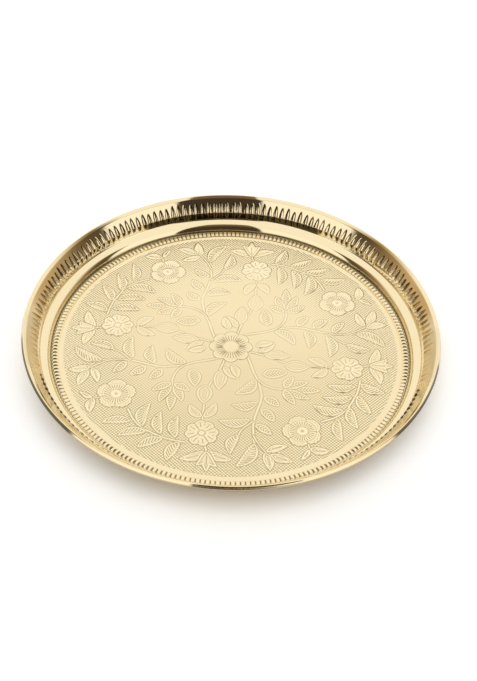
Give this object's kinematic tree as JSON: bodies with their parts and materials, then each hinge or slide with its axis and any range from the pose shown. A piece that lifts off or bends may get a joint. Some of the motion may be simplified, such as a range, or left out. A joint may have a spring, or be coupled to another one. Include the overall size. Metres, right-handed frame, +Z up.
{
  "type": "thali plate",
  "caption": "Round brass thali plate with an embossed floral floor, a beaded ring, a stepped ledge, a fluted wall and a rolled rim, for serving a meal.",
  "frame": {"origin": "centre of the flat underside, on the table", "axes": "+Z up along the plate's axis; +Y away from the viewer of the picture, +X to the viewer's right"},
  "size_m": [0.3048, 0.3048, 0.025],
  "materials": {
    "brass_sheet": "polished wall and rim, satin stamped floor",
    "brass_wire": "drawn, unpolished"
  },
  "bodies": {
    "root": {"plate_sheet": "brass_sheet", "rim_wire": "brass_wire"}
  },
  "joints": []
}
